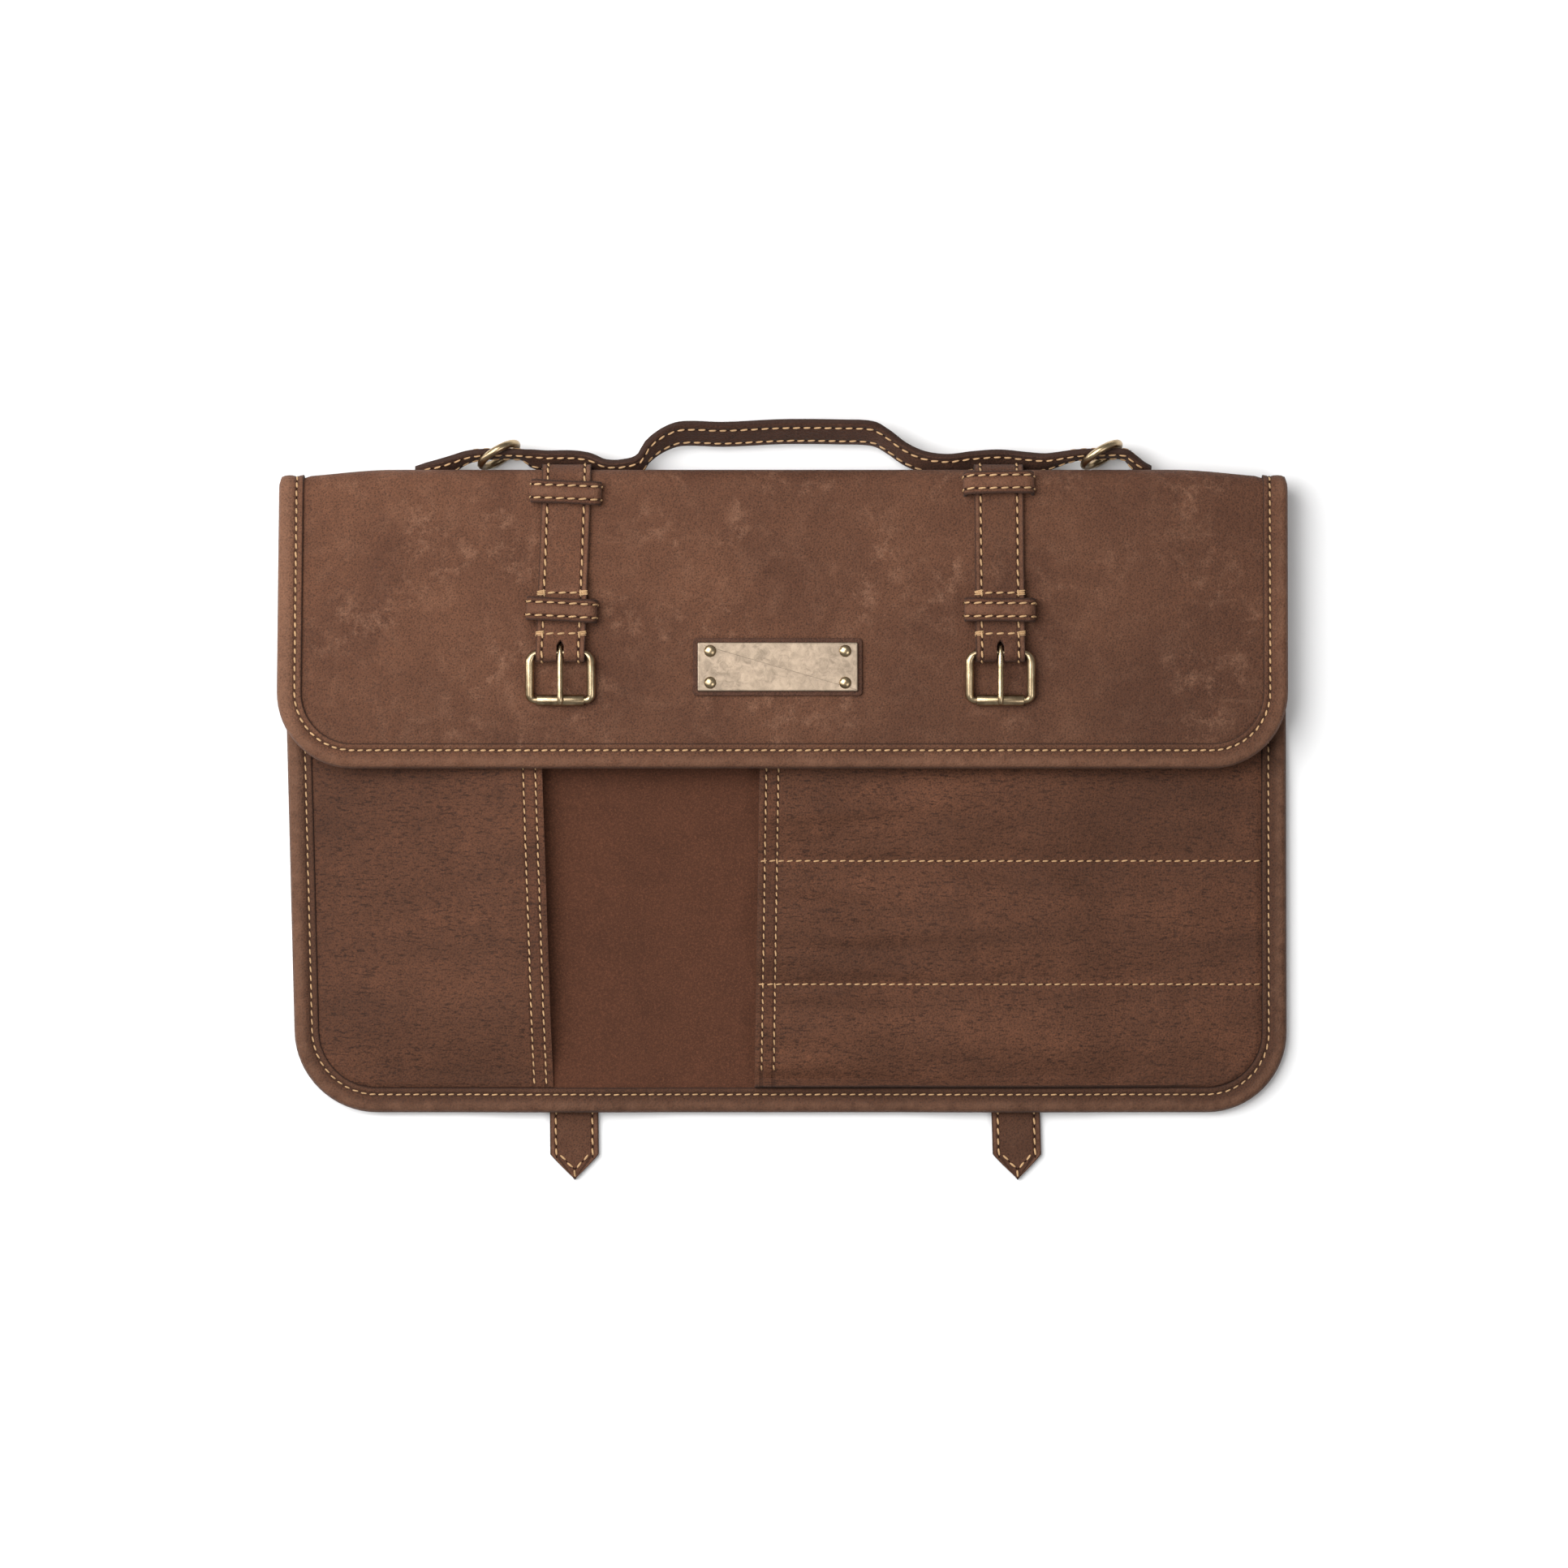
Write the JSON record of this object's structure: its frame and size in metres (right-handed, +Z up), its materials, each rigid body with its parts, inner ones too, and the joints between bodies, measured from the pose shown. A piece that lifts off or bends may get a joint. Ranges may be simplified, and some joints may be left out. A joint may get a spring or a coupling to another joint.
{
  "type": "chef knife roll",
  "caption": "Leather knife roll lying open: pockets on a bound sheet, a flap folded over the top, closing straps with roller buckles, a carrying handle and a bare name plate.",
  "frame": {"origin": "on the surface that the roll lies on, below the middle of its outline", "axes": "+X to the right along the handle's side of the roll, +Y towards the handle, +Z up out of the surface"},
  "size_m": [0.4151, 0.312, 0.0293],
  "materials": {
    "nubuck": "brushed nubuck, matte",
    "suede": "suede, matte",
    "binding": "brushed nubuck, matte",
    "dark_leather": "worn nubuck, matte",
    "antique_brass": "antique, burnished",
    "plate_metal": "mottled, satin"
  },
  "bodies": {
    "roll": {"shell": "nubuck", "lining": "suede", "edge_binding": "binding", "left_pocket": "nubuck", "right_pocket": "nubuck", "strap_left": "nubuck", "strap_right": "nubuck", "keeper_left_upper": "nubuck", "keeper_left_lower": "nubuck", "keeper_right_upper": "nubuck", "keeper_right_lower": "nubuck", "plate_patch": "dark_leather", "name_plate": "plate_metal", "rivet_1": "antique_brass", "rivet_2": "antique_brass", "rivet_3": "antique_brass", "rivet_4": "antique_brass", "handle": "dark_leather", "ring_left": "antique_brass", "ring_right": "antique_brass"},
    "buckle_left": {"buckle_frame_left": "antique_brass"},
    "prong_left": {"buckle_prong_left": "antique_brass"},
    "roller_left": {"buckle_roller_left": "antique_brass"},
    "buckle_right": {"buckle_frame_right": "antique_brass"},
    "prong_right": {"buckle_prong_right": "antique_brass"},
    "roller_right": {"buckle_roller_right": "antique_brass"}
  },
  "joints": [
    {"name": "buckle_left_swing", "type": "hinge", "parent": "roll", "child": "buckle_left", "pos_m": [-0.0913, 0.06035, 0.02495], "axis": [-1, 0, 0], "range_deg": [0, 70]},
    {"name": "prong_left_swing", "type": "hinge", "parent": "buckle_left", "child": "prong_left", "pos_m": [-0.0913, 0.06035, 0.02495], "axis": [-1, 0, 0], "range_deg": [0, 50]},
    {"name": "roller_left_spin", "type": "hinge", "parent": "buckle_left", "child": "roller_left", "pos_m": [-0.0913, 0.04101, 0.0234], "axis": [-1, 0, 0], "continuous": true},
    {"name": "buckle_right_swing", "type": "hinge", "parent": "roll", "child": "buckle_right", "pos_m": [0.0889, 0.06035, 0.02495], "axis": [-1, 0, 0], "range_deg": [0, 70]},
    {"name": "prong_right_swing", "type": "hinge", "parent": "buckle_right", "child": "prong_right", "pos_m": [0.0889, 0.06035, 0.02495], "axis": [-1, 0, 0], "range_deg": [0, 50]},
    {"name": "roller_right_spin", "type": "hinge", "parent": "buckle_right", "child": "roller_right", "pos_m": [0.0889, 0.04101, 0.0234], "axis": [-1, 0, 0], "continuous": true}
  ]
}
